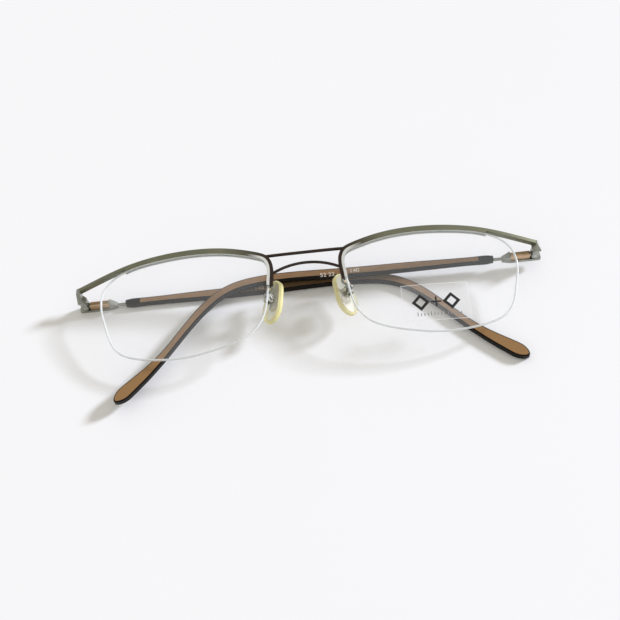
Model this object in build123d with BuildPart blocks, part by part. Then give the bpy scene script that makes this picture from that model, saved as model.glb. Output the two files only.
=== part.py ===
"""Half rim eyeglasses lying on their folded temples, front face up.

Millimetres. Z is up from the table, X runs along the front and Y points to the brow side.
Right and left are the wearer's: the right side is at -X.
"""

from build123d import *
import os
from math import asin, cos, radians, sin, sqrt

# Whole pair
front_width = 138.0
temple_length = 140.0
front_tilt = 10.6
front_rise = 11.6
front_y = 3.87
stack_step = 2.5

# Shell that the front is bent to
shell_radius = 160.0
shell_top = 0.9
shell_x = 23.0
shell_y = 1.0
shell_reach = 24.0

# Brow bar and lens channel
bar_height = 1.0
bar_depth = 2.0
channel_floor = 0.5
channel_lip = 0.3
liner_thickness = 0.15
seat_clearance = 0.02
lens_clearance = 0.05
channel_end_x = 53.4
channel_end_y = 3.0

# Lens and cord
lens_thickness = 1.1
cord_radius = 0.3

# Bridge wires
upper_wire = 0.95
lower_wire = 0.85

# Hinge
hinge_from_front = 9.8
hinge_height = 2.4
pin_inset = 1.4
pin_radius = 0.5
screw_head_radius = 0.85
screw_head_height = 0.4
screw_slot = 0.25
running_clearance = 0.05
lug_radius = 1.1
tongue_width = 0.9
tongue_radius = 1.0
sweep_gap = 0.3
plate_thickness = 0.9
plate_height = 2.2
plate_overhang = 1.8

# Spring hinge in the temple
housing_length = 5.8
housing_width = 1.6
housing_height = 2.0
housing_wall = 0.8
slide_travel = 1.0
shaft_radius = 0.3
spring_radius = 0.45
spring_wire = 0.16
retainer_radius = 0.55
retainer_length = 0.4
taper_length = 2.4

# Temple sleeve
core_radius = 0.5
core_height = 0.85
sleeve_thickness = 2.0
sleeve_start = 12.2
sleeve_nose = 1.3
sleeve_root_width = 2.3
sleeve_mid_width = 2.8
sleeve_hook_width = 2.6
paddle_width = 4.1
paddle_length = 15.0
paddle_flick = 9.0
bend_radius = 24.0
inlay_depth = 0.5
inlay_inset = 0.4
inlay_start = 16.6
edge_round = 0.35

# Nose pads
pad_x = 10.9
pad_depth = 4.2
pad_splay = 50.0
pad_lean = 13.0
pad_thickness = 1.9
pad_scale = 1.1
pad_core_length = 6.5
pad_core_width = 3.0
pad_core_thickness = 0.5
tab_thickness = 0.8
tab_radius = 0.6
pad_pin_height = 1.05
pad_pin_radius = 0.35
pad_pin_head = 0.6
box_width = 1.9
box_length = 2.6
box_gap = 0.3
box_floor = 0.35
pad_arm_wire = 0.8

# Each temple is bent to its wearer's ear: lean at the neck, where the bend starts, hook angle
side_bends = {
    "right": {"base": 0.0, "lean": 0.0, "bend_at": 84.0, "hook": 47.5},
    "left": {"base": stack_step, "lean": 1.0, "bend_at": 80.6, "hook": 52.0},
}

half_width = front_width / 2
hinge_y = front_y + hinge_from_front
pin_x = half_width - pin_inset
plate_gap = lug_radius + sweep_gap
pin_height = plate_thickness + plate_gap
housing_x = pin_x - lug_radius - 0.4
taper_x = housing_x - housing_length
neck_x = taper_x - taper_length
shaft_height = plate_thickness + housing_height / 2
lens_front = (bar_depth - lens_thickness) / 2
cord_depth = bar_depth / 2

# The front's own frame: x along the front, y up the face, z out of the face
front_plane = Plane(
    origin=(0, front_y, front_rise),
    x_dir=(1, 0, 0),
    z_dir=(0, -sin(radians(front_tilt)), cos(radians(front_tilt))),
)
pad_plane = Plane(
    origin=(pad_x, 0, -pad_depth),
    x_dir=(sin(radians(pad_splay)), 0, -cos(radians(pad_splay))),
    z_dir=(
        cos(radians(pad_splay)) * cos(radians(pad_lean)),
        sin(radians(pad_lean)),
        sin(radians(pad_splay)) * cos(radians(pad_lean)),
    ),
)
shell_centre = (shell_x, shell_y, shell_top - shell_radius)

# Lens edge seen from the front, from the nasal side over the top
lens_top = [
    (11.4, 2.9),
    (11.0, 7.3),
    (11.3, 10.1),
    (12.15, 11.5),
    (13.95, 12.4),
    (17.5, 13.5),
    (22.9, 14.75),
    (33.0, 15.7),
    (43.1, 15.4),
    (53.2, 13.9),
]
lens_lower = [
    (57.3, 12.1),
    (60.2, 9.0),
    (61.2, 5.0),
    (60.7, 0.5),
    (59.7, -3.6),
    (58.3, -8.0),
    (55.7, -11.7),
    (50.8, -14.2),
    (43.5, -15.7),
    (37.0, -16.1),
    (30.5, -15.4),
    (22.4, -13.5),
    (16.3, -10.4),
    (13.1, -5.8),
    (11.95, -1.2),
]
bar_outer = [(half_width - 5.1, 12.0), (half_width - 0.6, 10.75)]
pad_outline = [
    (0.4, 6.8),
    (-2.4, 4.6),
    (-3.0, 0.0),
    (-2.6, -4.6),
    (0.0, -6.7),
    (2.8, -5.0),
    (3.6, -1.0),
    (2.9, 3.6),
]


def on_shell(x, y, depth):
    """Point below the face's outer surface at x, y."""
    radius = shell_radius - depth
    out = sqrt(radius**2 - (x - shell_x) ** 2 - (y - shell_y) ** 2)
    return (x, y, shell_centre[2] + out)


def to_shell(front, back):
    """Keep what lies between two depths of the face."""
    with Locations(shell_centre):
        Sphere(shell_radius - front, mode=Mode.INTERSECT)
        Sphere(shell_radius - back, mode=Mode.SUBTRACT)


def make_cord_path(radius):
    points = [(11.2, 4.2), lens_top[0]] + lens_lower[::-1] + [(54.8, 13.4), (52.9, 14.0)]
    with BuildPart() as cord:
        with BuildLine() as path:
            Spline(*[on_shell(x, y, cord_depth) for x, y in points])
        with BuildSketch(Plane(origin=path.line @ 0, z_dir=path.line % 0)):
            Circle(radius)
        sweep(path=path.line)
    return cord.part


def make_cord():
    return make_cord_path(cord_radius)


def make_brow_bar():
    bar_inner = lens_edge(channel_floor + bar_height / 2)[: len(lens_top)]
    with BuildPart() as bar:
        with BuildSketch(Plane.XY.offset(-shell_reach)):
            with BuildLine():
                Spline(*bar_inner, *bar_outer)
            trace(line_width=bar_height)
        extrude(amount=2 * shell_reach)
        to_shell(0, bar_depth)
    return bar.part


def lens_edge(spread):
    """The lens outline's points, each stepped out square to the edge."""
    points = lens_top + lens_lower
    ahead = points[1:] + points[:1]
    behind = points[-1:] + points[:-1]
    edge = []
    for here, after, before in zip(points, ahead, behind):
        along = (Vector(*after) - Vector(*before)).normalized()
        edge.append((here[0] - spread * along.Y, here[1] + spread * along.X))
    return edge


def lens_face(spread):
    """The lens outline as a face, grown or shrunk by spread."""
    with BuildSketch() as face:
        with BuildLine():
            Spline(*lens_edge(spread), periodic=True)
        make_face()
    return face.sketch


def held_stretch(inner, outer, front, back):
    """A band along the held edge of the lens, from inner to outer and front to back."""
    with BuildPart() as band:
        with BuildSketch(Plane.XY.offset(-shell_reach)):
            add(lens_face(outer))
            add(lens_face(inner), mode=Mode.SUBTRACT)
            with BuildSketch(mode=Mode.INTERSECT):
                with BuildLine():
                    Polyline(
                        (5, channel_end_y),
                        (14, channel_end_y),
                        (20, 8),
                        (50, 10),
                        (channel_end_x, 12),
                        (channel_end_x + 0.5, 20),
                        (5, 20),
                        close=True,
                    )
                make_face()
        extrude(amount=2 * shell_reach)
        to_shell(front, back)
    return band.part


def make_channel(bar, cord_tool):
    groove = liner_thickness + seat_clearance
    with BuildPart() as channel:
        add(held_stretch(-channel_lip, channel_floor + bar_height / 4, 0, bar_depth))
        add(
            held_stretch(
                -2 * channel_lip,
                groove + lens_clearance,
                lens_front - groove,
                bar_depth - lens_front + groove,
            ),
            mode=Mode.SUBTRACT,
        )
        add(bar, mode=Mode.SUBTRACT)
        add(cord_tool, mode=Mode.SUBTRACT)
    return largest(channel.part)


def make_liner(cord_tool):
    with BuildPart() as liner:
        add(
            held_stretch(
                -channel_lip,
                liner_thickness + lens_clearance,
                lens_front - liner_thickness,
                bar_depth - lens_front + liner_thickness,
            )
        )
        add(
            held_stretch(
                -2 * channel_lip,
                lens_clearance,
                lens_front - seat_clearance,
                bar_depth - lens_front + seat_clearance,
            ),
            mode=Mode.SUBTRACT,
        )
        add(cord_tool, mode=Mode.SUBTRACT)
    return largest(liner.part)


def make_lens(cord_tool):
    with BuildPart() as lens:
        with BuildSketch(Plane.XY.offset(-shell_reach)):
            add(lens_face(0))
        extrude(amount=2 * shell_reach)
        to_shell(lens_front, bar_depth - lens_front)
        add(cord_tool, mode=Mode.SUBTRACT)
    return largest(lens.part)


def largest(part):
    """The main solid, without the slivers that a cut can leave."""
    return max(part.solids(), key=lambda solid: solid.volume)


def make_wire(points, diameter):
    with BuildPart() as wire:
        with BuildLine() as path:
            Spline(*points)
        with BuildSketch(Plane(origin=path.line @ 0, z_dir=path.line % 0)):
            Circle(diameter / 2)
        sweep(path=path.line)
    return wire.part


def make_upper_bridge(bars):
    x, y = 11.8, 12.7
    points = [(-x, y, -0.8), (-5, 12.4, 0.0), (0, 12.25, 0.3), (5, 12.4, 0.0), (x, y, -0.8)]
    with BuildPart() as bridge:
        add(make_wire(points, upper_wire))
        add(bars, mode=Mode.SUBTRACT)
    return largest(bridge.part)


def make_lower_bridge(bars):
    x, y = 10.0, 6.9
    points = [(-x, y, -0.9), (-5, 8.6, -0.3), (0, 9.1, -0.1), (5, 8.6, -0.3), (x, y, -0.9)]
    with BuildPart() as bridge:
        add(make_wire(points, lower_wire))
        add(bars, mode=Mode.SUBTRACT)
    return largest(bridge.part)


def make_end_piece(pin_z, bar):
    """Block that turns the bar's end back to the hinge, in the table's frame."""
    _, bar_y, bar_z = front_plane.from_local_coords(Vector(*on_shell(*bar_outer[1], 0)))
    low = pin_z + lug_radius + 0.8
    top = bar_z + 0.1
    with BuildPart() as block:
        with BuildSketch(Plane.XZ.offset(-hinge_y - 8)):
            with BuildLine():
                Polyline(
                    (pin_x - 0.9, low),
                    (pin_x + lug_radius - 0.1, low),
                    (half_width + 0.1, low + 0.3),
                    (half_width + 0.1, top - 0.5),
                    (half_width - 0.6, top),
                    (half_width - 1.1, top),
                    (half_width - 1.2, low + 0.7),
                    (pin_x - 0.9, low + 0.1),
                    close=True,
                )
            make_face()
        extrude(amount=16)
        with BuildSketch(Plane.YZ):
            with BuildLine():
                Polyline(
                    (hinge_y - hinge_height / 2, low),
                    (hinge_y + hinge_height / 2, low),
                    (bar_y + 0.9, bar_z - bar_depth),
                    (bar_y + 0.6, top),
                    (bar_y - 0.7, top),
                    (hinge_y - hinge_height / 2, low + 0.55),
                    close=True,
                )
            make_face()
        extrude(amount=front_width, mode=Mode.INTERSECT)
        add(bar, mode=Mode.SUBTRACT)
    return largest(block.part)


def make_knuckles(pin_z):
    """The two lugs of the front leaf, on one base under the end piece."""
    top = pin_z + lug_radius + 0.8
    with BuildPart() as leaf:
        with BuildSketch(Plane.XZ.offset(-hinge_y)):
            with Locations((pin_x, pin_z)):
                Circle(lug_radius)
            with BuildLine():
                Polyline(
                    (pin_x - 0.9, pin_z),
                    (pin_x + 0.6, pin_z),
                    (pin_x + 0.55, pin_z + 0.95),
                    (pin_x + lug_radius - 0.1, top),
                    (pin_x - 0.9, top),
                    close=True,
                )
            make_face()
        extrude(amount=hinge_height / 2, both=True)
        with BuildSketch(Plane.XZ.offset(-hinge_y)):
            with Locations((pin_x, pin_z)):
                Circle(tongue_radius + sweep_gap)
        extrude(amount=tongue_width / 2 + running_clearance, both=True, mode=Mode.SUBTRACT)
        with BuildSketch(Plane.XZ.offset(-hinge_y)):
            with Locations((pin_x, pin_z)):
                Circle(pin_radius + seat_clearance)
        extrude(amount=hinge_height, both=True, mode=Mode.SUBTRACT)
    return leaf.part


def make_hinge_screw(pin_z):
    top = hinge_y + hinge_height / 2
    with BuildPart() as screw:
        with BuildSketch(Plane.XZ.offset(-top)):
            with Locations((pin_x, pin_z)):
                Circle(pin_radius)
        extrude(amount=hinge_height)
        with BuildSketch(Plane.XZ.offset(-top)):
            with Locations((pin_x, pin_z)):
                Circle(screw_head_radius)
        extrude(amount=-screw_head_height)
        with BuildSketch(Plane.XZ.offset(-top - screw_head_height)):
            with Locations((pin_x, pin_z)):
                Rectangle(2 * screw_head_radius, screw_slot)
        extrude(amount=screw_head_height / 2, mode=Mode.SUBTRACT)
    return screw.part


def make_slider(base):
    """The temple's middle knuckle, with the shaft that the spring pulls in."""
    pin_z = base + pin_height
    shaft_z = base + shaft_height
    with BuildPart() as slider:
        with BuildSketch(Plane.XZ.offset(-hinge_y)):
            with Locations((pin_x, pin_z)):
                Circle(tongue_radius)
            with BuildLine():
                Polyline(
                    (pin_x, pin_z + 0.5),
                    (pin_x, pin_z - 0.9),
                    (housing_x, pin_z - 0.9),
                    (housing_x, pin_z + 0.5),
                    close=True,
                )
            make_face()
        extrude(amount=tongue_width / 2, both=True)
        with BuildSketch(Plane.XZ.offset(-hinge_y)):
            with Locations((pin_x, pin_z)):
                Circle(pin_radius + running_clearance)
        extrude(amount=tongue_width, both=True, mode=Mode.SUBTRACT)
        with BuildSketch(Plane(origin=(housing_x + 0.3, hinge_y, shaft_z), z_dir=(-1, 0, 0))):
            Circle(shaft_radius)
        extrude(amount=housing_length - 0.7)
    return slider.part


def make_retainer(base):
    """Stop ring pressed on the shaft's inner end."""
    start = housing_x - housing_length + 0.4 + retainer_length
    with BuildPart() as ring:
        with BuildSketch(Plane(origin=(start, hinge_y, base + shaft_height), z_dir=(-1, 0, 0))):
            Circle(retainer_radius)
            Circle(shaft_radius + seat_clearance, mode=Mode.SUBTRACT)
        extrude(amount=retainer_length)
    return ring.part


def make_spring(base):
    """Coil between the housing's front wall and the retainer."""
    front = housing_x - housing_wall - spring_wire
    back = housing_x - housing_length + 0.4 + retainer_length + spring_wire
    coil = front - back
    centre = (front, hinge_y, base + shaft_height)
    with BuildPart() as spring:
        with BuildLine() as path:
            Helix(coil / 7, coil, spring_radius, center=centre, direction=(-1, 0, 0))
        with BuildSketch(Plane(origin=path.line @ 0, z_dir=path.line % 0)):
            Circle(spring_wire / 2)
        sweep(path=path.line, is_frenet=True)
    return spring.part


def make_housing(base):
    mid = (housing_x - housing_length / 2, hinge_y, base + plate_thickness + housing_height / 2)
    face = Plane(origin=(housing_x, hinge_y, base + shaft_height), z_dir=(-1, 0, 0))
    with BuildPart() as housing:
        with Locations(mid):
            Box(housing_length, housing_width, housing_height)
        fillet(housing.faces().sort_by(Axis.Z)[-1].edges(), edge_round)
        with BuildSketch(face):
            Circle(shaft_radius + running_clearance)
        extrude(amount=housing_wall, mode=Mode.SUBTRACT)
        with BuildSketch(face.offset(housing_wall)):
            Circle(retainer_radius + running_clearance)
        extrude(amount=housing_length - housing_wall, mode=Mode.SUBTRACT)
    return housing.part


def make_temple_plate(base):
    """Flat metal bar behind the housing, tapered to the neck wire at its inner end."""
    outer_x = pin_x + plate_overhang
    with BuildPart() as plate:
        with Locations(((outer_x + taper_x) / 2, hinge_y, base + plate_thickness / 2)):
            Box(outer_x - taper_x, plate_height, plate_thickness)
        fillet(plate.faces().sort_by(Axis.X)[-1].edges().filter_by(Axis.Z), edge_round)
        block = base + (plate_thickness + housing_height) / 2
        with BuildSketch(Plane(origin=(taper_x, hinge_y, block), x_dir=(0, 1, 0), z_dir=(-1, 0, 0))):
            Rectangle(plate_height, plate_thickness + housing_height)
        neck = base + core_height
        with BuildSketch(Plane(origin=(neck_x, hinge_y, neck), x_dir=(0, 1, 0), z_dir=(-1, 0, 0))):
            Rectangle(2.6 * core_radius, 2.6 * core_radius)
        loft()
    return plate.part


def arm_point(reach, bend, side_step=0.0):
    """Point at a distance along the temple from the pin, stepped off to its brow side."""
    lean = radians(bend["lean"])
    turn = radians(bend["hook"]) + lean
    arc = bend_radius * turn
    straight = min(reach, bend["bend_at"])
    x = pin_x - straight * cos(lean)
    y = hinge_y + straight * sin(lean)
    turned = min(max(reach - bend["bend_at"], 0) / bend_radius, turn)
    heading = turned - lean
    x -= bend_radius * (sin(heading) + sin(lean))
    y -= bend_radius * (cos(lean) - cos(heading))
    hook = min(max(reach - bend["bend_at"] - arc, 0), hook_length(bend))
    x -= hook * cos(heading)
    y -= hook * sin(heading)
    paddle = max(reach - temple_length + paddle_length, 0)
    if paddle > 0:
        heading -= radians(paddle_flick)
        x -= paddle * cos(heading)
        y -= paddle * sin(heading)
    return (x - side_step * sin(heading), y + side_step * cos(heading))


def hook_length(bend):
    arc = bend_radius * radians(bend["hook"] + bend["lean"])
    return temple_length - paddle_length - bend["bend_at"] - arc


def sleeve_stations(bend):
    """Distance along the temple and half width, from the nose of the sleeve to near its tip."""
    bend_end = temple_length - paddle_length - hook_length(bend)
    return [
        (sleeve_start + sleeve_nose, 0.47 * sleeve_root_width),
        (sleeve_start + 3 * sleeve_nose, sleeve_root_width / 2),
        (sleeve_start + 10 * sleeve_nose, sleeve_root_width / 2),
        (sleeve_start + 20 * sleeve_nose, sleeve_mid_width / 2),
        ((sleeve_start + bend["bend_at"]) / 2 + 10, sleeve_mid_width / 2),
        (bend["bend_at"], sleeve_mid_width / 2),
        ((bend["bend_at"] + bend_end) / 2, sleeve_mid_width / 2),
        (bend_end, sleeve_hook_width / 2),
        (temple_length - 1.2 * paddle_length, sleeve_hook_width / 2),
        (temple_length - 0.7 * paddle_length, 0.42 * paddle_width),
        (temple_length - 0.35 * paddle_length, paddle_width / 2),
        (temple_length - 0.1 * paddle_length, 0.37 * paddle_width),
    ]


def sleeve_outline(bend, start, inset):
    """Closed outline of the sleeve, drawn in by inset, that begins at start."""
    stations = [(reach, half - inset) for reach, half in sleeve_stations(bend) if reach > start]
    root = sleeve_root_width / 2 - inset
    if start == sleeve_start:
        root = 1.3 * core_radius
    stations = [(start, root)] + stations
    tip = arm_point(temple_length - inset, bend)
    upper = [arm_point(reach, bend, half) for reach, half in stations]
    lower = [arm_point(reach, bend, -half) for reach, half in stations]
    with BuildSketch() as outline:
        with BuildLine():
            edge = Spline(*upper, tip, *lower[::-1])
            Line(edge @ 1, edge @ 0)
        make_face()
    return outline.sketch


def make_core(bend, radius):
    """Metal core wire from the neck to the paddle."""
    z = bend["base"] + core_height
    end = temple_length - paddle_length - 3
    reaches = [pin_x - neck_x, sleeve_start + 4, bend["bend_at"] / 2, bend["bend_at"]]
    reaches += [bend["bend_at"] + 11, bend["bend_at"] + 22, end]
    points = [arm_point(reach, bend) for reach in reaches]
    return make_wire([(x, y, z) for x, y in points], 2 * radius)


def make_inlay(bend):
    top = bend["base"] + sleeve_thickness
    with BuildPart() as inlay:
        with BuildSketch(Plane.XY.offset(top - inlay_depth)):
            add(sleeve_outline(bend, inlay_start, inlay_inset))
        extrude(amount=inlay_depth)
    return inlay.part


def make_sleeve(bend, inlay, core_tool):
    """Acetate sleeve with bevelled long edges."""
    layers = [
        (0, edge_round),
        (edge_round, 0),
        (sleeve_thickness - 0.7 * edge_round, 0),
        (sleeve_thickness, 0.7 * edge_round),
    ]
    with BuildPart() as sleeve:
        for height, inset in layers:
            with BuildSketch(Plane.XY.offset(bend["base"] + height)):
                add(sleeve_outline(bend, sleeve_start, inset))
        loft(ruled=True)
        add(inlay, mode=Mode.SUBTRACT)
        add(core_tool, mode=Mode.SUBTRACT)
    return largest(sleeve.part)


def make_pad_core():
    """Metal plate inside the pad, with the tab that the box holds."""
    with BuildPart() as core:
        with BuildSketch(pad_plane.offset(-pad_thickness / 2 - pad_core_thickness / 2)):
            SlotOverall(pad_core_length, pad_core_width, rotation=90)
        extrude(amount=pad_core_thickness)
        side = Plane(origin=pad_plane.origin, x_dir=pad_plane.y_dir, z_dir=pad_plane.x_dir)
        with BuildSketch(side):
            with Locations((0, pad_pin_height)):
                Circle(tab_radius)
            with Locations((0, (pad_pin_height - pad_thickness / 2) / 2)):
                Rectangle(2 * tab_radius, pad_pin_height + pad_thickness / 2)
        extrude(amount=tab_thickness / 2, both=True)
        with BuildSketch(side):
            with Locations((0, pad_pin_height)):
                Circle(pad_pin_radius + running_clearance)
        extrude(amount=tab_thickness, both=True, mode=Mode.SUBTRACT)
    return core.part


def make_nose_pad(core):
    with BuildPart() as pad:
        with BuildSketch(pad_plane.offset(-pad_thickness)):
            with BuildLine():
                Spline(*[(pad_scale * x, pad_scale * y) for x, y in pad_outline], periodic=True)
            make_face()
        extrude(amount=pad_thickness)
        chamfer(pad.faces().filter_by(GeomType.PLANE).edges(), 0.5)
        add(core, mode=Mode.SUBTRACT)
    return largest(pad.part)


def make_pad_box():
    """Slotted box that holds the pad's tab."""
    depth = pad_pin_height + tab_radius + sweep_gap - box_gap + box_floor
    side = Plane(origin=pad_plane.origin, x_dir=pad_plane.y_dir, z_dir=pad_plane.x_dir)
    with BuildPart() as box:
        with BuildSketch(pad_plane.offset(box_gap)):
            Rectangle(box_width, box_length)
        extrude(amount=depth)
        with BuildSketch(pad_plane.offset(box_gap)):
            Rectangle(tab_thickness + 2 * running_clearance, 2 * box_length)
        extrude(amount=depth - box_floor, mode=Mode.SUBTRACT)
        with BuildSketch(side):
            with Locations((0, pad_pin_height)):
                Circle(pad_pin_radius + seat_clearance)
        extrude(amount=box_width, both=True, mode=Mode.SUBTRACT)
    return box.part


def make_pad_screw():
    side = Plane(origin=pad_plane.origin, x_dir=pad_plane.y_dir, z_dir=pad_plane.x_dir)
    with BuildPart() as screw:
        with BuildSketch(side.offset(-box_width / 2)):
            with Locations((0, pad_pin_height)):
                Circle(pad_pin_radius)
        extrude(amount=box_width)
        with BuildSketch(side.offset(-box_width / 2)):
            with Locations((0, pad_pin_height)):
                Circle(pad_pin_head)
        extrude(amount=-0.35)
    return screw.part


def make_pad_arm(box, bar):
    far = pad_pin_height + tab_radius + sweep_gap + box_floor
    end = pad_plane.from_local_coords(Vector(0, 0, far - 0.1))
    lead = pad_plane.from_local_coords(Vector(0, 0, far + 0.5))
    points = [(10.35, 3.1, -0.9), (10.45, 1.9, -1.5), tuple(lead), tuple(end)]
    with BuildPart() as arm:
        add(make_wire(points, pad_arm_wire))
        add(box, mode=Mode.SUBTRACT)
        add(bar, mode=Mode.SUBTRACT)
    return largest(arm.part)


def save(piece, name):
    piece.label = name
    export_step(piece, f"parts/{name}.step")


def build_front(side):
    """Pieces of one half of the front, in the table's frame on the +X side."""
    pin_z = side_bends[side]["base"] + pin_height
    cord_tool = make_cord_path(cord_radius + seat_clearance)
    bar = make_brow_bar()
    box = make_pad_box()
    pad_core = make_pad_core()
    pieces = {
        "brow_bar": bar,
        "rim_channel": make_channel(bar, cord_tool),
        "rim_liner": make_liner(cord_tool),
        "lens": make_lens(cord_tool),
        "lens_cord": make_cord(),
        "pad_arm": make_pad_arm(box, bar),
        "pad_box": box,
        "pad_screw": make_pad_screw(),
        "pad_core": pad_core,
        "nose_pad": make_nose_pad(pad_core),
    }
    pieces = {name: front_plane.location * piece for name, piece in pieces.items()}
    pieces["end_piece"] = make_end_piece(pin_z, pieces["brow_bar"])
    pieces["hinge_knuckles"] = make_knuckles(pin_z)
    pieces["hinge_screw"] = make_hinge_screw(pin_z)
    return pieces


def build_temple(side):
    """Pieces of one temple, folded flat, on the +X side."""
    bend = side_bends[side]
    base = bend["base"]
    inlay = make_inlay(bend)
    core_tool = make_core(bend, core_radius + seat_clearance)
    return {
        "hinge_slider": make_slider(base),
        "slider_retainer": make_retainer(base),
        "hinge_spring": make_spring(base),
        "spring_housing": make_housing(base),
        "temple_plate": make_temple_plate(base),
        "temple_core": make_core(bend, core_radius),
        "temple_sleeve": make_sleeve(bend, inlay, core_tool),
        "temple_inlay": inlay,
    }


def main():
    os.makedirs("parts", exist_ok=True)
    for side in side_bends:
        pieces = build_front(side) | build_temple(side)
        for name, piece in pieces.items():
            if side == "right":
                piece = mirror(piece, about=Plane.YZ)
            save(piece, f"{side}_{name}")
    bar = make_brow_bar()
    bars = bar + mirror(bar, about=Plane.YZ)
    save(front_plane.location * make_upper_bridge(bars), "upper_bridge")
    save(front_plane.location * make_lower_bridge(bars), "lower_bridge")


main()
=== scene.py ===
import bpy, math
from mathutils import Matrix, Vector
from mathutils.bvhtree import BVHTree


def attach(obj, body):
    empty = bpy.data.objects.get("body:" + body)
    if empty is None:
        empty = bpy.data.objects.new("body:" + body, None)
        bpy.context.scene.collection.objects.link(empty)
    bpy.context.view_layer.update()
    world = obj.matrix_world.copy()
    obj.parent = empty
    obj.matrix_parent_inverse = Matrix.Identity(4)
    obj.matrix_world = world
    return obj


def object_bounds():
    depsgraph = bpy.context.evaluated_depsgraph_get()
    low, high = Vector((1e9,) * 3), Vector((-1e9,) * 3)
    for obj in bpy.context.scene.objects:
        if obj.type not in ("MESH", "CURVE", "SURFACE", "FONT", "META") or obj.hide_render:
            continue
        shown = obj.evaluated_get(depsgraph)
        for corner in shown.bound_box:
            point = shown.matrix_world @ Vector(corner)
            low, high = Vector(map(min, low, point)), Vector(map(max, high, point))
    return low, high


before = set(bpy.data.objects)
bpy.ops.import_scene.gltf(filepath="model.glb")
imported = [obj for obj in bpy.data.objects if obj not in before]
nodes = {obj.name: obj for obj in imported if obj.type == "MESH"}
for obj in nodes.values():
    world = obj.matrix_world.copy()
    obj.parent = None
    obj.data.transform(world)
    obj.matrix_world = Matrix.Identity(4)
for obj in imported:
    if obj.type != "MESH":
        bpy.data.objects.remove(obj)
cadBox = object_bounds()
print("frame loaded,", len(nodes), "pieces")

mm = 0.001
boxLow = Vector(cadBox[0])
frontTilt = math.radians(10.6)  # the face leans back from the table by this much
faceNormal = (0.0, -math.sin(frontTilt), math.cos(frontTilt))


def hexLinear(text, alpha=1.0):
    parts = [int(text[i:i + 2], 16) / 255 for i in (1, 3, 5)]
    return tuple(c / 12.92 if c <= 0.04045 else ((c + 0.055) / 1.055) ** 2.4 for c in parts) + (alpha,)


def addNode(mat, kind, settings=None, links=None):
    node = mat.node_tree.nodes.new(kind)
    for key, value in (settings or {}).items():
        if isinstance(key, int) or key in node.inputs:
            node.inputs[key].default_value = value
        else:
            setattr(node, key, value)
    for key, source in (links or {}).items():
        mat.node_tree.links.new(source, node.inputs[key])
    return node


def newMaterial(name):
    mat = bpy.data.materials.new(name)
    mat.use_nodes = True
    mat.node_tree.nodes.clear()
    return mat


def finishMaterial(mat, shader):
    out = addNode(mat, "ShaderNodeOutputMaterial")
    mat.node_tree.links.new(shader.outputs[0], out.inputs["Surface"])
    return mat


def setRamp(ramp, stops):
    elements = ramp.color_ramp.elements
    while len(elements) > 1:
        elements.remove(elements[-1])
    elements[0].position, elements[0].color = stops[0]
    for position, color in stops[1:]:
        elements.new(position).color = color


def wear(names, mat):
    for name in names:
        mesh = nodes[name].data
        mesh.materials.clear()
        mesh.materials.append(mat)


def bothSides(*names):
    return [side + name for name in names for side in ("right_", "left_")]


# the brow bars: steel wire, lacquered in translucent olive over gunmetal plating
# grain coarser than real
# the dark brown towards the nose and on the bridges is painted reflection
browBar = {"olive": "#86876f", "oliveDark": "#6c6d5a", "nasalReflection": "#33241d", "grooveHighlight": "#eceeea",
           "nasal": 13 * mm, "fadeFrom": 11 * mm, "fadeTo": 24 * mm, "roughness": 0.33,
           "grain": 0.35 * mm, "clouds": 6 * mm, "bevel": 0.2 * mm, "bevelAbove": 50}


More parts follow.
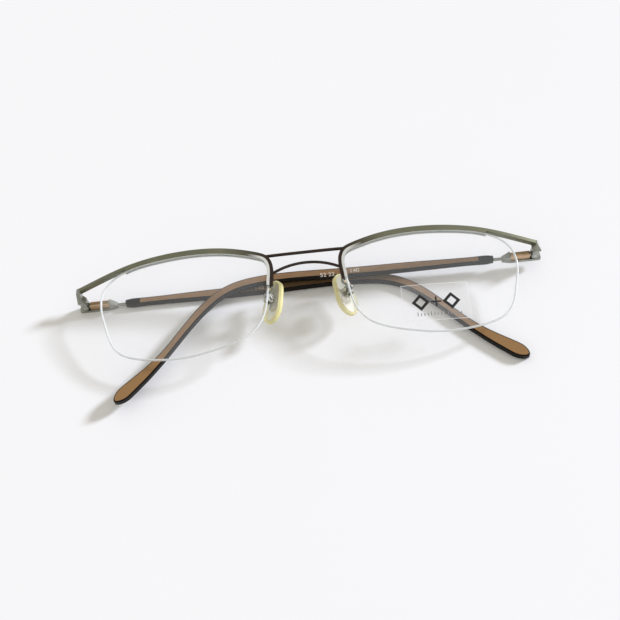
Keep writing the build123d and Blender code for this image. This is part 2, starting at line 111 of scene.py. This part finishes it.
def lacqueredSteel(look, grooveHighlightInside):  # satin lacquer on drawn steel: soft metal sheen; the brown towards the nose is painted reflection
    mat = newMaterial("lacqueredSteelChannel" if grooveHighlightInside else "lacqueredSteelBar")
    where = addNode(mat, "ShaderNodeTexCoord")
    axes = addNode(mat, "ShaderNodeSeparateXYZ", links={0: where.outputs["Object"]})
    side = addNode(mat, "ShaderNodeMath", {"operation": "ABSOLUTE"}, {0: axes.outputs["X"]})
    # painted reflection: dark brown towards the nose and all over the bridges, olive further out
    reflectionFade = addNode(mat, "ShaderNodeMapRange",
                   {"From Min": look["fadeFrom"], "From Max": look["fadeTo"]},
                   {"Value": side.outputs[0]})
    specks = addNode(mat, "ShaderNodeTexNoise",
                     {"Scale": 1 / look["grain"], "Detail": 3.0, "Roughness": 0.6},
                     {"Vector": where.outputs["Object"]})
    clouds = addNode(mat, "ShaderNodeTexNoise", {"Scale": 1 / look["clouds"], "Detail": 2.0},
                     {"Vector": where.outputs["Object"]})
    olive = addNode(mat, "ShaderNodeMix", {"data_type": "RGBA", 6: hexLinear(look["oliveDark"]),
                                           7: hexLinear(look["olive"])}, {0: clouds.outputs["Fac"]})
    colour = addNode(mat, "ShaderNodeMix", {"data_type": "RGBA", 6: hexLinear(look["nasalReflection"])},
                     {0: reflectionFade.outputs[0], 7: olive.outputs[2]})
    if grooveHighlightInside:  # painted highlight: the groove side and the nasal end are near white for the lens edge's light
        facing = addNode(mat, "ShaderNodeVectorMath", {"operation": "DOT_PRODUCT", 1: faceNormal},
                         {0: where.outputs["Normal"]})
        highlightFacing = addNode(mat, "ShaderNodeMapRange", {"From Min": 0.9, "From Max": 0.75},
                       {"Value": facing.outputs["Value"]})
        nasal = addNode(mat, "ShaderNodeMapRange",
                        {"From Min": look["nasal"] + 4 * mm, "From Max": look["nasal"]},
                        {"Value": side.outputs[0]})
        either = addNode(mat, "ShaderNodeMath", {"operation": "MAXIMUM"},
                         {0: highlightFacing.outputs[0], 1: nasal.outputs[0]})
        colour = addNode(mat, "ShaderNodeMix", {"data_type": "RGBA", 7: hexLinear(look["grooveHighlight"])},
                         {0: either.outputs[0], 6: colour.outputs[2]})
    rough = addNode(mat, "ShaderNodeMapRange",
                    {"From Min": 0.3, "From Max": 0.7, "To Min": look["roughness"] - 0.06,
                     "To Max": look["roughness"] + 0.08}, {"Value": specks.outputs["Fac"]})
    bump = addNode(mat, "ShaderNodeBump", {"Strength": 0.12, "Distance": 0.02 * mm},
                   {"Height": specks.outputs["Fac"]})
    shader = addNode(mat, "ShaderNodeBsdfPrincipled",
                     {"Metallic": 0.75, "Coat Weight": 0.35, "Coat Roughness": 0.22},
                     {"Base Color": colour.outputs[2], "Roughness": rough.outputs[0],
                      "Normal": bump.outputs[0]})
    return finishMaterial(mat, shader)


def roundEdges(names, width):
    for name in names:
        bevel = nodes[name].modifiers.new("roundEdges", "BEVEL")
        bevel.width = width
        bevel.segments = 3
        bevel.limit_method = "ANGLE"
        bevel.angle_limit = math.radians(browBar["bevelAbove"])


wear(bothSides("brow_bar") + ["upper_bridge", "lower_bridge"], lacqueredSteel(browBar, False))
# the channel material carries a painted highlight: near white on the groove side and at the nasal end
wear(bothSides("rim_channel"), lacqueredSteel(browBar, True))
roundEdges(bothSides("brow_bar"), browBar["bevel"])
print("brow bars and bridge lacquered")

# end pieces, hinges, temple plates, necks and pad arms: nickel silver, satin brushed and plated
satinParts = {"light": "#b3b4ac", "shade": "#83857e", "roughness": 0.3, "brushLine": 0.12 * mm,
              "metallic": 1.0}
# the lines are drawn coarser than real brushing, to be seen at all
brush = {"along": 0.06, "haze": 2.5 * mm}


def brushedNickel(look, name):  # fine brushed lines along the part break the reflection into a soft grey
    mat = newMaterial(name)
    where = addNode(mat, "ShaderNodeTexCoord")
    stretch = addNode(mat, "ShaderNodeMapping", {"Scale": (brush["along"], 1.0, 1.0)},
                      {"Vector": where.outputs["Object"]})
    lines = addNode(mat, "ShaderNodeTexNoise",
                    {"Scale": 1 / look["brushLine"], "Detail": 4.0, "Roughness": 0.55},
                    {"Vector": stretch.outputs[0]})
    haze = addNode(mat, "ShaderNodeTexNoise", {"Scale": 1 / brush["haze"], "Detail": 2.0},
                   {"Vector": where.outputs["Object"]})
    colour = addNode(mat, "ShaderNodeMix",
                     {"data_type": "RGBA", 6: hexLinear(look["shade"]), 7: hexLinear(look["light"])},
                     {0: haze.outputs["Fac"]})
    rough = addNode(mat, "ShaderNodeMapRange",
                    {"From Min": 0.3, "From Max": 0.7, "To Min": look["roughness"] - 0.08,
                     "To Max": look["roughness"] + 0.1}, {"Value": lines.outputs["Fac"]})
    bump = addNode(mat, "ShaderNodeBump", {"Strength": 0.1, "Distance": 0.01 * mm},
                   {"Height": lines.outputs["Fac"]})
    shader = addNode(mat, "ShaderNodeBsdfPrincipled", {"Metallic": look["metallic"]},
                     {"Base Color": colour.outputs[2], "Roughness": rough.outputs[0],
                      "Normal": bump.outputs[0]})
    return finishMaterial(mat, shader)


wear(bothSides("end_piece", "hinge_knuckles", "hinge_slider", "temple_plate", "temple_core",
               "pad_arm", "pad_box"), brushedNickel(satinParts, "brushedNickelSilver"))
housing = {"light": "#d9bd9f", "shade": "#b59675", "roughness": 0.34, "brushLine": 0.12 * mm,
           "metallic": 1.0}
wear(bothSides("spring_housing"), brushedNickel(housing, "copperTintedNickel"))
screws = {"light": "#d6d5cf", "shade": "#a9a9a2", "roughness": 0.2, "brushLine": 0.08 * mm,
          "metallic": 1.0}
wear(bothSides("hinge_screw", "pad_screw", "hinge_spring", "slider_retainer"),
     brushedNickel(screws, "turnedSteel"))
padPlate = {"light": "#4a4329", "shade": "#2b2718", "roughness": 0.32, "brushLine": 0.1 * mm,
            "metallic": 0.35}
wear(bothSides("pad_core"), brushedNickel(padPlate, "antiqueBrassPlate"))
print("metal parts brushed")

# lenses: clear polished CR-39; the bright line along its polished round edge is a painted highlight
lensLook = {"tint": "#f3f6f6", "edgeHighlight": "#ffffff", "faceAlpha": 0.045, "edgeHighlightAlpha": 0.62,
            "flatAbove": 0.85, "edgeBelow": 0.6, "ior": 1.498, "roughness": 0.02, "smear": 9 * mm}


def polishedResin(look):  # nearly invisible on the face; painted highlight at the cut edge: the tint turns near opaque where the edge turns away
    mat = newMaterial("polishedResin")
    where = addNode(mat, "ShaderNodeTexCoord")
    facing = addNode(mat, "ShaderNodeVectorMath", {"operation": "DOT_PRODUCT", 1: faceNormal},
                     {0: where.outputs["Normal"]})
    flat = addNode(mat, "ShaderNodeMath", {"operation": "ABSOLUTE"}, {0: facing.outputs["Value"]})
    # painted highlight: alpha rises towards the edge, so the near-white tint shows there as a bright line
    edgeHighlight = addNode(mat, "ShaderNodeMapRange",
                   {"From Min": look["flatAbove"], "From Max": look["edgeBelow"],
                    "To Min": look["faceAlpha"], "To Max": look["edgeHighlightAlpha"]},
                   {"Value": flat.outputs[0]})
    smear = addNode(mat, "ShaderNodeTexNoise", {"Scale": 1 / look["smear"], "Detail": 3.0},
                    {"Vector": where.outputs["Object"]})
    rough = addNode(mat, "ShaderNodeMapRange",
                    {"From Min": 0.35, "From Max": 0.75, "To Min": look["roughness"],
                     "To Max": look["roughness"] + 0.05}, {"Value": smear.outputs["Fac"]})
    shader = addNode(mat, "ShaderNodeBsdfPrincipled",
                     {"Base Color": hexLinear(look["tint"]), "IOR": look["ior"]},
                     {"Alpha": edgeHighlight.outputs[0], "Roughness": rough.outputs[0]})
    return finishMaterial(mat, shader)


wear(bothSides("lens"), polishedResin(lensLook))

# nylon line and liner: drawn clear polyamide
nylonLook = {"body": "#f7f9f8", "shade": "#dfe4e3", "alpha": 0.6, "ior": 1.53, "roughness": 0.16,
             "waves": 1.5 * mm}


def drawnNylon(look):  # a waxy clear thread that catches light along its length
    mat = newMaterial("drawnNylon")
    where = addNode(mat, "ShaderNodeTexCoord")
    waves = addNode(mat, "ShaderNodeTexNoise", {"Scale": 1 / look["waves"], "Detail": 2.0},
                    {"Vector": where.outputs["Object"]})
    colour = addNode(mat, "ShaderNodeMix",
                     {"data_type": "RGBA", 6: hexLinear(look["shade"]), 7: hexLinear(look["body"])},
                     {0: waves.outputs["Fac"]})
    shader = addNode(mat, "ShaderNodeBsdfPrincipled",
                     {"Roughness": look["roughness"], "IOR": look["ior"], "Alpha": look["alpha"]},
                     {"Base Color": colour.outputs[2]})
    return finishMaterial(mat, shader)


wear(bothSides("lens_cord", "rim_liner"), drawnNylon(nylonLook))
print("lenses and cords clear")

# nose pads: moulded silicone, gone slightly yellow
padLook = {"pale": "#f8f6e6", "deep": "#e0d795", "ior": 1.41, "roughness": 0.24, "faceAlpha": 0.3,
           "rimAlpha": 0.82, "rimFrom": 0.97, "rimFull": 0.7, "cloud": 3 * mm, "uneven": 0.3,
           "splay": 32, "lean": 13}


def mouldedSilicone(look, tilt):  # soft and milky, deeper yellow where the rim is seen through its width
    mat = newMaterial("mouldedSilicone" + ("Right" if tilt[0] < 0 else "Left"))
    where = addNode(mat, "ShaderNodeTexCoord")
    facing = addNode(mat, "ShaderNodeVectorMath", {"operation": "DOT_PRODUCT", 1: tilt},
                     {0: where.outputs["Normal"]})
    flat = addNode(mat, "ShaderNodeMath", {"operation": "ABSOLUTE"}, {0: facing.outputs["Value"]})
    rim = addNode(mat, "ShaderNodeMapRange", {"From Min": look["rimFrom"], "From Max": look["rimFull"]},
                  {"Value": flat.outputs[0]})
    cloud = addNode(mat, "ShaderNodeTexNoise", {"Scale": 1 / look["cloud"], "Detail": 3.0},
                    {"Vector": where.outputs["Object"]})
    thick = addNode(mat, "ShaderNodeMath",
                    {"operation": "MULTIPLY_ADD", 1: look["uneven"], 2: -look["uneven"] / 2},
                    {0: cloud.outputs["Fac"]})
    depth = addNode(mat, "ShaderNodeMath", {"operation": "ADD", "use_clamp": True},
                    {0: rim.outputs[0], 1: thick.outputs[0]})
    colour = addNode(mat, "ShaderNodeMix",
                     {"data_type": "RGBA", 6: hexLinear(look["pale"]), 7: hexLinear(look["deep"])},
                     {0: depth.outputs[0]})
    alpha = addNode(mat, "ShaderNodeMapRange",
                    {"To Min": look["faceAlpha"], "To Max": look["rimAlpha"]},
                    {"Value": rim.outputs[0]})
    shader = addNode(mat, "ShaderNodeBsdfPrincipled",
                     {"Roughness": look["roughness"], "IOR": look["ior"], "Subsurface Weight": 0.12,
                      "Subsurface Scale": 1.0 * mm, "Coat Weight": 0.3, "Coat Roughness": 0.15},
                     {"Base Color": colour.outputs[2], "Alpha": alpha.outputs[0]})
    return finishMaterial(mat, shader)


splay, padLean = math.radians(padLook["splay"]), math.radians(padLook["lean"])
padLocal = Vector((math.cos(splay) * math.cos(padLean), math.sin(padLean),
                   math.sin(splay) * math.cos(padLean)))
padNormal = Matrix.Rotation(frontTilt, 3, "X") @ padLocal
wear(["left_nose_pad"], mouldedSilicone(padLook, tuple(padNormal)))
wear(["right_nose_pad"], mouldedSilicone(padLook, (-padNormal.x, padNormal.y, padNormal.z)))
print("nose pads moulded")

# temple sleeves: laminated acetate, near black outside with a copper brown inner layer
sleeveLook = {"body": "#100d0b", "streak": "#1a1411", "roughness": 0.22, "streakWidth": 1.1 * mm,
              "metallic": 0.0, "gloss": 0.14, "tip": "#100d0b", "relief": 0.008}
inlayLook = {"body": "#98795a", "streak": "#8b6c4e", "light": "#a4866a", "roughness": 0.3,
             "streakWidth": 0.5 * mm, "metallic": 0.5, "gloss": 0.4, "tip": "#a17c53", "relief": 0.008}
# scuffs coarser than real
acetate = {"along": 0.12, "tipFrom": -6.5 * mm, "tipFull": -9.5 * mm, "scuffs": 0.4 * mm}


def laminatedAcetate(look, name):  # tumbled gloss with faint streaks that run along the sheet
    mat = newMaterial(name)
    where = addNode(mat, "ShaderNodeTexCoord")
    along = addNode(mat, "ShaderNodeMapping", {"Scale": (acetate["along"], 1.0, 1.0)},
                    {"Vector": where.outputs["Object"]})
    streaks = addNode(mat, "ShaderNodeTexNoise",
                      {"Scale": 1 / look["streakWidth"], "Detail": 4.0, "Roughness": 0.6},
                      {"Vector": along.outputs[0]})
    ramp = addNode(mat, "ShaderNodeValToRGB", links={0: streaks.outputs["Fac"]})
    setRamp(ramp, [(0.3, hexLinear(look["streak"])), (0.55, hexLinear(look["body"])),
                   (0.8, hexLinear(look.get("light", look["body"])))])
    axes = addNode(mat, "ShaderNodeSeparateXYZ", links={0: where.outputs["Object"]})
    tipped = addNode(mat, "ShaderNodeMapRange",
                     {"From Min": acetate["tipFrom"], "From Max": acetate["tipFull"]},
                     {"Value": axes.outputs["Y"]})
    colour = addNode(mat, "ShaderNodeMix", {"data_type": "RGBA", 7: hexLinear(look["tip"])},
                     {0: tipped.outputs[0], 6: ramp.outputs[0]})
    scuffs = addNode(mat, "ShaderNodeTexNoise", {"Scale": 1 / acetate["scuffs"], "Detail": 5.0},
                     {"Vector": where.outputs["Object"]})
    rough = addNode(mat, "ShaderNodeMapRange",
                    {"From Min": 0.35, "From Max": 0.75, "To Min": look["roughness"] - 0.02,
                     "To Max": look["roughness"] + 0.04}, {"Value": scuffs.outputs["Fac"]})
    bump = addNode(mat, "ShaderNodeBump", {"Strength": look["relief"], "Distance": 0.02 * mm},
                   {"Height": scuffs.outputs["Fac"]})
    shader = addNode(mat, "ShaderNodeBsdfPrincipled",
                     {"IOR": 1.48, "Metallic": look["metallic"], "Specular IOR Level": look["gloss"]},
                     {"Base Color": colour.outputs[2], "Roughness": rough.outputs[0],
                      "Normal": bump.outputs[0]})
    return finishMaterial(mat, shader)


wear(bothSides("temple_sleeve"), laminatedAcetate(sleeveLook, "darkAcetate"))
wear(bothSides("temple_inlay"), laminatedAcetate(inlayLook, "copperAcetate"))
print("temples laminated")

# printed size numbers on the inner faces, and the demo mark and film on the left lens
sizePrint = {"groups": (("52 22", 3.7), ("140", 12.6)), "height": 1.45 * mm, "ink": "#f3ebdd",
             "thick": 0.02 * mm, "right": ("140", -16.3), "body": 1.35, "sink": 0.45,
             "lift": 0.015 * mm, "reach": 2.0 * mm, "patches": 0.3 * mm}
markLook = {"centre": (35.8 * mm, -7.4 * mm), "ink": "#101010", "ticks": 14, "tick": (0.95, 0.25),
            "tickFrom": -5.7, "tickFoot": -4.1, "tickTop": (-2.9, -3.3),
            "diamond": (1.4 * mm, 2.55 * mm), "diamondAway": 4.4 * mm, "arm": 1.5 * mm,
            "stroke": 0.22 * mm, "inkLift": 0.035 * mm, "film": (19 * mm, 11 * mm), "filmGrid": (12, 6),
            "filmHighlightWidth": 0.12 * mm, "filmLift": 0.02 * mm, "highlightLift": 0.03 * mm}
frontOrigin = Vector((0.0, 3.87 * mm, 11.6 * mm))  # the face's own middle, tilted like the face
frontTurn = Matrix.Rotation(frontTilt, 3, "X")


def printedInk(name, colour, rough):  # matt pad printing ink, a little uneven so the strokes look printed
    mat = newMaterial(name)
    where = addNode(mat, "ShaderNodeTexCoord")
    patches = addNode(mat, "ShaderNodeTexNoise", {"Scale": 1 / sizePrint["patches"], "Detail": 3.0},
                      {"Vector": where.outputs["Object"]})
    ramp = addNode(mat, "ShaderNodeValToRGB", links={0: patches.outputs["Fac"]})
    base = hexLinear(colour)
    setRamp(ramp, [(0.3, tuple(0.75 * c for c in base[:3]) + (1.0,)), (0.7, base)])
    shader = addNode(mat, "ShaderNodeBsdfPrincipled", {"Roughness": rough},
                     {"Base Color": ramp.outputs[0]})
    return finishMaterial(mat, shader)


def meshPiece(name, verts, faces, mat):
    mesh = bpy.data.meshes.new(name)
    mesh.from_pydata([tuple(v) for v in verts], [], faces)
    mesh.materials.append(mat)
    piece = bpy.data.objects.new(name, mesh)
    bpy.context.collection.objects.link(piece)
    return piece


def textPiece(name, text, place, mat):
    curve = bpy.data.curves.new(name, "FONT")
    curve.body = text
    curve.size = sizePrint["height"] * sizePrint["body"]
    curve.extrude = sizePrint["thick"] / 2
    lettering = bpy.data.objects.new(name + "Curve", curve)
    bpy.context.collection.objects.link(lettering)
    mesh = lettering.evaluated_get(bpy.context.evaluated_depsgraph_get()).to_mesh().copy()
    bpy.data.objects.remove(lettering)
    mesh.materials.clear()
    mesh.materials.append(mat)
    mesh.transform(Matrix.Translation(place))
    piece = bpy.data.objects.new(name, mesh)
    bpy.context.collection.objects.link(piece)
    return piece


def topAt(name, x):  # middle and top of a folded temple's piece at x
    near = [v.co for v in nodes[name].data.vertices if abs(v.co.x - x) < sizePrint["reach"]]
    return (min(c.y for c in near) + max(c.y for c in near)) / 2, max(c.z for c in near)


whiteInk = printedInk("whitePadPrint", sizePrint["ink"], 0.5)


def printOn(side, name, text, x):
    middleY, topZ = topAt(side + "_temple_inlay", x + sizePrint["reach"])
    place = (x, middleY - sizePrint["sink"] * sizePrint["height"], topZ + sizePrint["lift"])
    piece = textPiece(name, text, place, whiteInk)
    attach(piece, side + "_temple")


for index, (text, start) in enumerate(sizePrint["groups"]):
    printOn("left", "left_size_print" + str(index), text, start * mm)
printOn("right", "right_size_print", sizePrint["right"][0], sizePrint["right"][1] * mm)

lensTree = BVHTree.FromObject(nodes["left_lens"], bpy.context.evaluated_depsgraph_get())


def onLens(u, v, lift):  # point of the left lens's front surface at u, v of the face, lifted off it
    start = frontOrigin + frontTurn @ Vector((u, v, 20 * mm))
    hit = lensTree.ray_cast(start, -(frontTurn @ Vector((0, 0, 1))))[0]
    return hit + frontTurn @ Vector((0, 0, lift))


def ribbon(inner, outer):  # two matching rows of points as verts and faces
    count = len(inner)
    faces = [(i, i + 1, count + i + 1, count + i) for i in range(count - 1)]
    return inner + outer, faces


def diamond(radius):  # four corners, and the first one again to close it
    turns = [math.radians(90 * i) for i in range(5)]
    return [(radius * math.cos(a), radius * math.sin(a)) for a in turns]


def bar(x0, y0, x1, y1):
    return ribbon([(x0, y0), (x1, y0)], [(x0, y1), (x1, y1)])


shapes = []
for side in (-1, 1):  # a diamond each side of the cross
    points, faces = ribbon(*[diamond(radius) for radius in markLook["diamond"]])
    shapes.append(([(x + side * markLook["diamondAway"], y) for x, y in points], faces))
arm, stroke = markLook["arm"], markLook["stroke"]
shapes += [bar(-arm, -stroke, arm, stroke), bar(-stroke, -arm, stroke, arm)]
ticks = []
for index in range(markLook["ticks"]):  # every fourth tick is longer
    left = index * markLook["tick"][0] + markLook["tickFrom"]
    top = markLook["tickTop"][1 if index % 4 else 0]
    ticks.append(bar(left * mm, markLook["tickFoot"] * mm, (left + markLook["tick"][1]) * mm, top * mm))


def lensPrint(name, parts, mat, lift):
    verts, faces = [], []
    for points, quads in parts:
        faces += [tuple(len(verts) + i for i in quad) for quad in quads]
        verts += [onLens(markLook["centre"][0] + u, markLook["centre"][1] + v, lift) for u, v in points]
    piece = meshPiece(name, verts, faces, mat)
    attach(piece, "front")
    return piece


lensPrint("demo_mark", shapes, printedInk("blackPadPrint", markLook["ink"], 0.4), markLook["inkLift"])
lensPrint("demo_ticks", ticks, printedInk("greyPadPrint", "#8f8f8b", 0.5), markLook["inkLift"])


def castFilm():  # clear sticker film, just a slight veil; its bright cut border is a painted highlight, laid on as separate strips
    mat = newMaterial("castFilm")
    where = addNode(mat, "ShaderNodeTexCoord")
    veil = addNode(mat, "ShaderNodeTexNoise", {"Scale": 1 / (4 * mm), "Detail": 2.0},
                   {"Vector": where.outputs["Object"]})
    alpha = addNode(mat, "ShaderNodeMapRange", {"To Min": 0.05, "To Max": 0.12},
                    {"Value": veil.outputs["Fac"]})
    shader = addNode(mat, "ShaderNodeBsdfPrincipled",
                     {"Base Color": hexLinear("#ffffff"), "Roughness": 0.2},
                     {"Alpha": alpha.outputs[0]})
    return finishMaterial(mat, shader)


wide, tall = markLook["film"]
across, down = markLook["filmGrid"]
columns = [wide * (i / across - 0.5) for i in range(across + 1)]
rows = [[(x, -tall / 2 + row * tall / down) for x in columns] for row in range(down + 1)]
lensPrint("demo_film", [ribbon(a, b) for a, b in zip(rows[:-1], rows[1:])], castFilm(), markLook["filmLift"])
# painted highlight: the film's cut edge is drawn as opaque near-white strips for the light it catches
rim = markLook["filmHighlightWidth"]
edgeHighlightStrips = [bar(-wide / 2, -tall / 2, -wide / 2 + rim, tall / 2),
          bar(wide / 2 - rim, -tall / 2, wide / 2, tall / 2)]
for x0, x1 in zip(columns[:-1], columns[1:]):
    edgeHighlightStrips += [bar(x0, tall / 2 - rim, x1, tall / 2), bar(x0, -tall / 2, x1, -tall / 2 + rim)]
lensPrint("demo_film_edge_highlight", edgeHighlightStrips, printedInk("filmEdgeHighlight", "#fbfbfb", 0.4), markLook["highlightLift"])
print("prints and film laid on")

# floor, light and camera
floorLook = {"size": 4.0, "colour": "#f4f4f4", "roughness": 0.6, "drop": 0.05 * mm,
             "mottle": "#f2f2f2", "mottleScale": 14.0}


def coatedTable(look):  # a matt white laminate table: even, with a faint mottling
    mat = newMaterial("whiteLaminate")
    where = addNode(mat, "ShaderNodeTexCoord")
    mottle = addNode(mat, "ShaderNodeTexNoise", {"Scale": look["mottleScale"], "Detail": 3.0},
                     {"Vector": where.outputs["Object"]})
    colour = addNode(mat, "ShaderNodeMix",
                     {"data_type": "RGBA", 6: hexLinear(look["mottle"]), 7: hexLinear(look["colour"])},
                     {0: mottle.outputs["Fac"]})
    shader = addNode(mat, "ShaderNodeBsdfPrincipled",
                     {"Roughness": look["roughness"], "Specular IOR Level": 0.3},
                     {"Base Color": colour.outputs[2]})
    return finishMaterial(mat, shader)


bpy.ops.mesh.primitive_plane_add(size=floorLook["size"], location=(0, 0, boxLow.z - floorLook["drop"]))
floor = bpy.context.object
floor.name = "floor"
floor.data.materials.append(coatedTable(floorLook))

room = {"colour": "#fffcf3", "strength": 0.62}
world = bpy.data.worlds.new("softRoom")
bpy.context.scene.world = world
world.use_nodes = True
world.node_tree.nodes["Background"].inputs["Color"].default_value = hexLinear(room["colour"])
world.node_tree.nodes["Background"].inputs["Strength"].default_value = room["strength"]

keyLight = {"from": Vector((0.84, 0.34, 0.423)), "spread": 10.0, "strength": 3.75, "colour": "#edf0ff"}
lamp = bpy.data.lights.new("window", "SUN")
lamp.angle = math.radians(keyLight["spread"])
lamp.energy = keyLight["strength"]
lamp.color = hexLinear(keyLight["colour"])[:3]
lampObject = bpy.data.objects.new("window", lamp)
bpy.context.collection.objects.link(lampObject)
lampObject.rotation_euler = keyLight["from"].to_track_quat("Z", "Y").to_euler()

shot = {"at": (7.1 * mm, -162.55 * mm, 244.8 * mm), "tilt": 34.42, "turn": 2.52, "roll": -8.08,
        "lens": 58.06, "sensor": 36.0, "near": 0.01}
camera = bpy.data.objects.new("camera", bpy.data.cameras.new("camera"))
bpy.context.collection.objects.link(camera)
camera.data.sensor_width = shot["sensor"]
camera.data.lens = shot["lens"]
camera.data.clip_start = shot["near"]
turn = Matrix.Rotation(math.radians(shot["turn"]), 4, "Z")
tilt = Matrix.Rotation(math.radians(shot["tilt"]), 4, "X")
roll = Matrix.Rotation(math.radians(shot["roll"]), 4, "Z")
camera.matrix_world = Matrix.Translation(shot["at"]) @ turn @ tilt @ roll
bpy.context.scene.camera = camera
bpy.context.scene.view_settings.view_transform = "Standard"
print("light and camera set")
